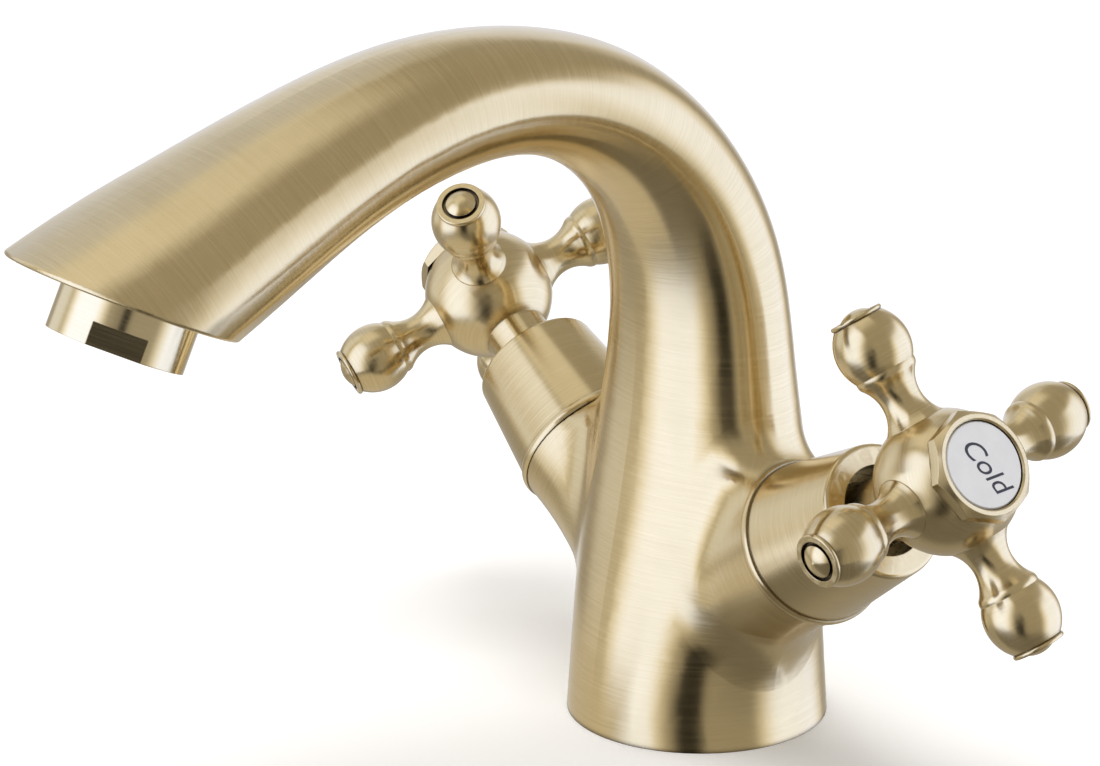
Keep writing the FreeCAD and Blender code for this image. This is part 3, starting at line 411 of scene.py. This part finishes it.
def make_collar():
    """The collar along Z from the mouth's face, then laid along the outlet."""
    collar = round_bar("aerator_collar", COLLAR_RADIUS, 0.0, COLLAR_HEIGHT)
    break_edge(collar, COLLAR_HEIGHT - COLLAR_EDGE, COLLAR_EDGE)
    lip = COLLAR_HEIGHT - LIP_HEIGHT
    work(collar, round_bar("thread", THREAD_RADIUS, -THREAD_LENGTH, lip), "UNION")
    work(collar, round_bar("bore", BORE_RADIUS, -THREAD_LENGTH - OVERCUT, lip), "DIFFERENCE")
    work(collar, round_bar("mouth", LIP_RADIUS, 0.0, COLLAR_HEIGHT + OVERCUT), "DIFFERENCE")
    reach = math.sqrt(COLLAR_RADIUS ** 2 - (KEY_FLAT_WIDTH / 2) ** 2)
    low, high = COLLAR_HEIGHT - KEY_FLAT_HEIGHT, COLLAR_HEIGHT + OVERCUT
    for side in (1, -1):
        flat = milling_block("key_flat", side * reach, side * (reach + OVERCUT), low, high)
        work(collar, flat, "DIFFERENCE")
    look = (KEY_FLAT_LOOK - KEY_FLAT_LOOK.project(OUTLET_AXIS)).normalized()
    turn = Matrix((look, OUTLET_AXIS.cross(look), OUTLET_AXIS)).transposed()
    collar.location = OUTLET_CENTRE
    collar.rotation_euler = turn.to_euler()
    set_in_place(collar)
    bpy.ops.object.shade_smooth_by_angle(angle=COLLAR_SMOOTH)
    collar.select_set(False)
    return collar


outlet_lay = turned_lay(OUTLET_CENTRE, OUTLET_AXIS)
collar_brass = finish("collar_brass", polished_brass, outlet_lay)
dress(collar_brass, "aerator_housing")
collar = make_collar()
collar.data.materials.clear()
collar.data.materials.append(collar_brass)
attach(collar, "mixer_body")
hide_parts("aerator_housing")
dress(finish("moulded_plastic", moulded_plastic), "aerator_insert")
dress(finish("woven_steel", woven_steel), "aerator_screen")
dress(rubber, "aerator_washer")

# ---------------------------------------------------------------------------------------------
# Valve headworks: turned brass with a milled hexagon, screwed into the arms on a fibre washer.
# In each lie a rubber seat seal and two lapped ceramic discs that open and shut the water.
# ---------------------------------------------------------------------------------------------

LATHE_LIGHT = (0.790, 0.640, 0.340, 1.0)
LATHE_DEEP = (0.660, 0.510, 0.240, 1.0)
LATHE_ROUGHNESS = (0.20, 0.32)
LATHE_STRETCH = 0.4
# Painted shade: the lathe brass turns dark brown where other surfaces stand within reach, as
# inside the sleeves.
PAINTED_SHADE_REACH = 2.5 * MM
PAINTED_SHADE_RANGE = (0.1, 0.5)
FIBRE_RED = (0.240, 0.060, 0.035, 1.0)
FIBRE_BROWN = (0.130, 0.045, 0.030, 1.0)
FIBRE_ROUGHNESS = (0.70, 0.90)
FIBRE_SCALE = 700.0
FIBRE_DETAIL = 5.0
FIBRE_BREAKS = 0.7
FIBRE_RANGE = (0.35, 0.65)
CERAMIC_WHITE = (0.800, 0.790, 0.750, 1.0)
CERAMIC_SHADE = (0.720, 0.705, 0.660, 1.0)
CERAMIC_ROUGHNESS = (0.12, 0.20)
CERAMIC_GRAIN = 500.0
VALVE_FOOT = Vector((0.0, 0.0, VALVE_HEIGHT))
VALVE_AXES = {
    "cold": Vector((math.cos(VALVE_TILT), 0.0, math.sin(VALVE_TILT))),
    "hot": Vector((-math.cos(VALVE_TILT), 0.0, math.sin(VALVE_TILT))),
}


def machined_brass(tree, lay):
    lines, across = lay(tree, point_on(tree))
    # Painted shade: brown where the brass lies near other surfaces, as within the sleeve.
    unshaded = carry(tree, openness(tree, PAINTED_SHADE_REACH), PAINTED_SHADE_RANGE)
    clean = shade(tree, lines, LATHE_DEEP, LATHE_LIGHT, BRUSH_RANGE)
    return {
        "Base Color": blend(tree, unshaded, PATINA_AND_SHADE_BROWN, clean),
        "Metallic": 1.0,
        "Roughness": carry(tree, lines, NOISE_RANGE, LATHE_ROUGHNESS),
        "Anisotropic": LATHE_STRETCH,
        "Tangent": follow(tree, across),
        "Normal": relief(tree, lines, BRUSH_DEPTH),
    }


def pressed_fibre(tree):
    fibres = noise(tree, point_on(tree), FIBRE_SCALE, FIBRE_DETAIL, FIBRE_BREAKS)
    return {
        "Base Color": shade(tree, fibres, FIBRE_BROWN, FIBRE_RED, FIBRE_RANGE),
        "Roughness": carry(tree, fibres, NOISE_RANGE, FIBRE_ROUGHNESS),
        "Normal": relief(tree, fibres, RUBBER_GRAIN_DEPTH),
    }


def lapped_ceramic(tree):
    grain = noise(tree, point_on(tree), CERAMIC_GRAIN)
    return {
        "Base Color": shade(tree, grain, CERAMIC_SHADE, CERAMIC_WHITE),
        "Roughness": carry(tree, grain, NOISE_RANGE, CERAMIC_ROUGHNESS),
    }


fibre = finish("pressed_fibre", pressed_fibre)
ceramic = finish("lapped_ceramic", lapped_ceramic)
valve_lays = {}
lathe_brass = {}
for side, axis in VALVE_AXES.items():
    valve_lays[side] = turned_lay(VALVE_FOOT, axis)
    lathe_brass[side] = finish(side + "_lathe_brass", machined_brass, valve_lays[side])
    dress(lathe_brass[side], side + "_headwork_body")
    dress(fibre, side + "_headwork_washer")
    dress(rubber, side + "_seat_seal")
    dress(ceramic, side + "_fixed_ceramic_disc", side + "_moving_ceramic_disc")

# ---------------------------------------------------------------------------------------------
# Spindles: turned brass stems that drive the upper discs, each with two rubber rings
# and a spring steel clip that keeps it in the headwork.
# ---------------------------------------------------------------------------------------------

STEEL_ROUGHNESS = (0.25, 0.40)
STEEL_GRAIN = 400.0


def spring_steel(tree):
    grain = noise(tree, point_on(tree), STEEL_GRAIN)
    return {
        "Base Color": shade(tree, grain, STEEL_DARK, STEEL_LIGHT),
        "Metallic": 1.0,
        "Roughness": carry(tree, grain, NOISE_RANGE, STEEL_ROUGHNESS),
    }


steel = finish("spring_steel", spring_steel)
for side in VALVE_AXES:
    dress(lathe_brass[side], side + "_spindle")
    dress(rubber, side + "_spindle_o_rings")
    dress(steel, side + "_spindle_clip")

# ---------------------------------------------------------------------------------------------
# Valve sleeves: conical brass covers with a beaded foot, turned, brushed and toned like
# the casting, and screwed over the headworks down to the end faces of the arms.
# ---------------------------------------------------------------------------------------------

# Painted shade: the inside of each sleeve is coloured near black brown.
PAINTED_SHADE_BROWN = (0.020, 0.013, 0.008, 1.0)
INSIDE_LOOK = -0.5


def faces_axis(tree, foot, axis):
    """1 where the surface looks towards the axis, as the inside of a sleeve does, or else 0."""
    from_foot = add(tree, "VectorMath", point_on(tree), foot, operation="SUBTRACT")
    along = add(tree, "VectorMath", from_foot, axis, operation="PROJECT")
    outward = add(tree, "VectorMath", from_foot, along, operation="SUBTRACT")
    outward = add(tree, "VectorMath", outward, operation="NORMALIZE")
    look = add(tree, "VectorMath", outward, add(tree, "TexCoord", result=1),
               operation="DOT_PRODUCT", result=1)
    return reckon(tree, "LESS_THAN", look, INSIDE_LOOK)


def sleeve_brass(tree, lay, foot, axis):
    """Antique brass outside, with painted shade inside: near black brown where the surface faces
    the axis.
    """
    sockets = antique_brass(tree, lay, BELT_ROUGHNESS)
    inside = faces_axis(tree, foot, axis)
    sockets["Base Color"] = blend(tree, inside, sockets["Base Color"], PAINTED_SHADE_BROWN)
    return sockets


for side, axis in VALVE_AXES.items():
    dress(finish(side + "_sleeve_brass", sleeve_brass, valve_lays[side], VALVE_FOOT, axis),
          side + "_valve_sleeve")

# ---------------------------------------------------------------------------------------------
# Handle hubs: brass balls with a neck, turned and brushed round the valve axis.
# A slotted steel screw behind the index disc holds each hub on its splined spindle.
# ---------------------------------------------------------------------------------------------

WHEEL_ROUGHNESS = (0.19, 0.25)

turned_brass = {}
for side in VALVE_AXES:
    turned_brass[side] = finish(side + "_turned_brass", antique_brass, valve_lays[side],
                                WHEEL_ROUGHNESS)
    dress(turned_brass[side], side + "_handle_hub")
    dress(steel, side + "_handle_screw")

# ---------------------------------------------------------------------------------------------
# Handle arms: four turned brass arms on each hub, each with a waist, a bead, a bulb and
# a button in a dark groove at its end, screwed against a flat on the ball.
# ---------------------------------------------------------------------------------------------

HUB_REACH = 84.0 * MM
ARM_SPIN = {"cold": 14.25, "hot": -29.75}
ARMS = 4


def across_valve(side, degrees):
    """A direction square to the valve axis, turned about that axis from the vertical plane."""
    level = Vector((0.0, 1.0, 0.0))
    steep = level.cross(VALVE_AXES[side])
    angle = math.radians(degrees)
    return math.cos(angle) * steep + math.sin(angle) * level


for side, axis in VALVE_AXES.items():
    hub = VALVE_FOOT + HUB_REACH * axis
    for number in range(ARMS):
        name = f"{side}_handle_arm_{number + 1}"
        lay = turned_lay(hub, across_valve(side, ARM_SPIN[side] + 360.0 / ARMS * number))
        dress(finish(name + "_brass", antique_brass, lay, WHEEL_ROUGHNESS), name)

# ---------------------------------------------------------------------------------------------
# Index bezels: eight-sided brass rings, turned, milled and brushed like the hubs.
# They screw into the front of the hubs and hold the index discs.
# ---------------------------------------------------------------------------------------------

for side in VALVE_AXES:
    dress(turned_brass[side], side + "_index_bezel")

# ---------------------------------------------------------------------------------------------
# Index discs: white glazed porcelain, held by the bezels. The word for the water, cold or
# hot, is fired on each disc in thin black slanted letters.
# ---------------------------------------------------------------------------------------------

GLAZE_WHITE = (0.860, 0.855, 0.835, 1.0)
GLAZE_SHADE = (0.800, 0.795, 0.775, 1.0)
GLAZE_ROUGHNESS = (0.10, 0.16)
GLAZE_SCALE = 250.0
GLAZE_COAT = {"Coat Weight": 0.5, "Coat Roughness": 0.05}
INK_BLACK = (0.012, 0.012, 0.012, 1.0)
INK_THIN = (0.035, 0.034, 0.033, 1.0)
INK_ROUGHNESS = (0.30, 0.45)
INK_SCALE = 1500.0
INK_THICKNESS = 0.03 * MM
DISC_FACE = 95.3 * MM
LETTER_HEIGHT = 5.6 * MM
LETTER_SLANT = 0.35
WORD_LEAN = {"cold": 25.0, "hot": -35.0}


def glazed_porcelain(tree):
    cloud = noise(tree, point_on(tree), GLAZE_SCALE)
    return {
        "Base Color": shade(tree, cloud, GLAZE_SHADE, GLAZE_WHITE),
        "Roughness": carry(tree, cloud, NOISE_RANGE, GLAZE_ROUGHNESS),
        **GLAZE_COAT,
    }


def fired_ink(tree):
    cloud = noise(tree, point_on(tree), INK_SCALE)
    return {
        "Base Color": shade(tree, cloud, INK_BLACK, INK_THIN),
        "Roughness": carry(tree, cloud, NOISE_RANGE, INK_ROUGHNESS),
    }


def write_word(side):
    """The word on one disc: text made a mesh, then laid on the disc's face."""
    bpy.ops.object.text_add()
    word = bpy.context.object
    word.name = side + "_word"
    word.data.body = side.capitalize()
    word.data.size = LETTER_HEIGHT
    word.data.shear = LETTER_SLANT
    word.data.extrude = INK_THICKNESS
    word.data.align_x = "CENTER"
    word.data.align_y = "CENTER"
    bpy.ops.object.convert(target="MESH")
    axis = VALVE_AXES[side]
    along = across_valve(side, WORD_LEAN[side])
    turn = Matrix((along, axis.cross(along), axis)).transposed()
    word.location = VALVE_FOOT + DISC_FACE * axis
    word.rotation_euler = turn.to_euler()
    set_in_place(word)
    word.select_set(False)
    return word


porcelain = finish("glazed_porcelain", glazed_porcelain)
ink = finish("fired_ink", fired_ink)
for side in VALVE_AXES:
    dress(porcelain, side + "_index_disc")
    word = write_word(side)
    word.data.materials.clear()
    word.data.materials.append(ink)
    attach(word, side + "_handle")

# ---------------------------------------------------------------------------------------------
# Studio: a floor of white paper under one soft lamp, and soft light and dark cards round
# the mixer that only the metal mirrors. The camera stands where the photograph was taken.
# ---------------------------------------------------------------------------------------------

FLOOR_SIZE = 6.0
FLOOR_WHITE = (0.955, 0.955, 0.960, 1.0)
FLOOR_SHADE = (0.945, 0.945, 0.950, 1.0)
FLOOR_ROUGHNESS = 0.9
FLOOR_CLOUD = 2.0
FLOOR_LIFT = 0.20
STRIP_WHITE = (0.86, 1.00, 1.52, 1.0)
STRIP_COOL = (0.94, 1.00, 1.18, 1.0)
ROOM_WHITE = (1.00, 1.00, 1.00, 1.0)
ROOM_WARM = (1.05, 1.00, 0.91, 1.0)
ROOM_LIGHT = 0.40
CARD_HALF = 0.5
SIDE_FADE = 0.35
END_FADE = 0.15
BOARD_LEVEL = 0.06
LENS_TURN = (math.radians(90.0), 0.0, math.radians(59.0))
UNDER_TURN = (0.0, 0.0, math.radians(53.0))
FLOOR_TURN = (0.0, 0.0, math.radians(90.0))
TOP_TURN = (0.0, 0.0, 0.0)
LAMP_PLACE = Vector((-0.2, -0.2, 1.8))
LAMP_SIZE = 1.4
LAMP_POWER = 26.0
CAMERA_PLACE = (0.565535, -0.425212, 0.286921)
CAMERA_TURN = (72.585, 0.0, 55.366)
CAMERA_LENS = 128.18
CAMERA_SENSOR = 36.0


def floor_paper(tree):
    """White paper that looks a little lighter than the lamp makes it, and keeps its shadows."""
    cloud = noise(tree, point_on(tree), FLOOR_CLOUD)
    path = add(tree, "LightPath").node.outputs
    mirrored = reckon(tree, "ADD", path["Is Glossy Ray"], path["Is Transmission Ray"])
    seen = reckon(tree, "ADD", path["Is Camera Ray"], mirrored)
    return {
        "Base Color": shade(tree, cloud, FLOOR_SHADE, FLOOR_WHITE),
        "Roughness": FLOOR_ROUGHNESS,
        "Emission Color": FLOOR_WHITE,
        "Emission Strength": reckon(tree, "MULTIPLY", seen, FLOOR_LIFT),
    }


bpy.ops.mesh.primitive_plane_add(size=FLOOR_SIZE)
floor = bpy.context.object
floor.name = "floor"
floor.data.materials.append(finish("floor_paper", floor_paper))
floor.visible_glossy = False


def glow_paint(card, colour, brightness):
    """A card's light: even in the middle and fading out to its sides and ends."""
    material = bpy.data.materials.new(card.name)
    material.use_nodes = True
    material.cycles.emission_sampling = "NONE"
    tree = material.node_tree
    tree.nodes.clear()
    flat = add(tree, "Mapping", point_on(tree), tuple(card.location),
               tuple(card.rotation_euler), tuple(card.scale), vector_type="TEXTURE")
    along, up, _ = add(tree, "SeparateXYZ", flat).node.outputs
    fades = [add(tree, "MapRange", reckon(tree, "ABSOLUTE", way), CARD_HALF, CARD_HALF - fade,
                 interpolation_type="SMOOTHSTEP")
             for way, fade in ((along, SIDE_FADE), (up, END_FADE))]
    share = reckon(tree, "MULTIPLY", *fades)
    heart = reckon(tree, "MULTIPLY", share, share)
    glow = add(tree, "Emission", blend(tree, heart, ROOM_WHITE, colour), brightness)
    surface = add(tree, "MixShader", share, add(tree, "BsdfTransparent"), glow)
    output = tree.nodes.new("ShaderNodeOutputMaterial")
    tree.links.new(surface, output.inputs["Surface"])
    return material


def mirrored_card(name, place, turn, width, height, colour, brightness):
    """A flat card that only the metal mirrors."""
    bpy.ops.mesh.primitive_plane_add(size=1.0)
    card = bpy.context.object
    card.name = name
    card.scale = (width / (1.0 - SIDE_FADE), height / (1.0 - END_FADE), 1.0)
    card.rotation_euler = turn
    card.location = place
    card.data.materials.append(glow_paint(card, colour, brightness))
    set_in_place(card)
    card.visible_camera = False
    card.visible_diffuse = False
    card.visible_shadow = False
    card.visible_transmission = False


def board(name, bearing, spread, low, high, colour, brightness, distance):
    """A card that stands upright at a bearing from +X. The angles are in degrees."""
    angle = math.radians(bearing)
    foot = distance * math.tan(math.radians(low))
    head = distance * math.tan(math.radians(high))
    width = 2.0 * distance * math.tan(math.radians(spread / 2.0))
    place = (distance * math.cos(angle), distance * math.sin(angle),
             BOARD_LEVEL + (foot + head) / 2)
    turn = (math.pi / 2, 0.0, angle - math.pi / 2)
    mirrored_card(name, place, turn, width, head - foot, colour, brightness)


board("left_core", bearing=-97.5, spread=58.0, low=-36.0, high=50.0,
      colour=STRIP_WHITE, brightness=1.60, distance=1.18)
board("right_core", bearing=62.0, spread=75.0, low=-50.0, high=38.0,
      colour=STRIP_WHITE, brightness=1.48, distance=1.18)
board("left_back_board", bearing=-150.0, spread=30.0, low=-12.0, high=50.0,
      colour=STRIP_COOL, brightness=0.95, distance=1.2)
board("right_back_board", bearing=146.0, spread=44.0, low=-22.0, high=34.0,
      colour=STRIP_COOL, brightness=0.95, distance=1.2)
board("back_board", bearing=180.0, spread=66.0, low=6.0, high=60.0,
      colour=STRIP_COOL, brightness=0.72, distance=1.3)
board("front_board", bearing=-42.0, spread=23.0, low=-74.0, high=8.0,
      colour=ROOM_WARM, brightness=0.01, distance=1.0)
mirrored_card("lens_board", place=(0.851, -0.640, 0.259), turn=LENS_TURN,
              width=0.20, height=0.16, colour=ROOM_WARM, brightness=0.01)
mirrored_card("front_under_board", place=(0.48, -0.36, -0.6), turn=UNDER_TURN,
              width=2.4, height=1.2, colour=ROOM_WARM, brightness=0.19)
mirrored_card("back_under_board", place=(-0.48, 0.36, -0.6), turn=UNDER_TURN,
              width=2.4, height=1.2, colour=ROOM_WARM, brightness=0.38)
mirrored_card("left_floor_board", place=(-0.06, -0.05, -0.01), turn=FLOOR_TURN,
              width=0.14, height=0.12, colour=ROOM_WARM, brightness=0.62)
mirrored_card("top_board", place=(-0.40, -0.34, 1.3), turn=TOP_TURN,
              width=0.95, height=0.95, colour=ROOM_WHITE, brightness=0.88)

bpy.ops.object.light_add(type="AREA", location=LAMP_PLACE)
lamp = bpy.context.object
lamp.name = "top_lamp"
lamp.data.shape = "SQUARE"
lamp.data.size = LAMP_SIZE
lamp.data.energy = LAMP_POWER
lamp.rotation_euler = LAMP_PLACE.to_track_quat("Z", "Y").to_euler()
lamp.visible_camera = False
lamp.visible_glossy = False

world = bpy.data.worlds.new("pale_room")
bpy.context.scene.world = world
world.use_nodes = True
tree = world.node_tree
tree.nodes.clear()
sky = add(tree, "Background", ROOM_WARM, ROOM_LIGHT)
output = tree.nodes.new("ShaderNodeOutputWorld")
tree.links.new(sky, output.inputs["Surface"])

bpy.ops.object.camera_add(location=CAMERA_PLACE,
                          rotation=[math.radians(angle) for angle in CAMERA_TURN])
camera = bpy.context.object
camera.data.lens = CAMERA_LENS
camera.data.sensor_width = CAMERA_SENSOR
bpy.context.scene.camera = camera
bpy.context.scene.view_settings.view_transform = "Standard"
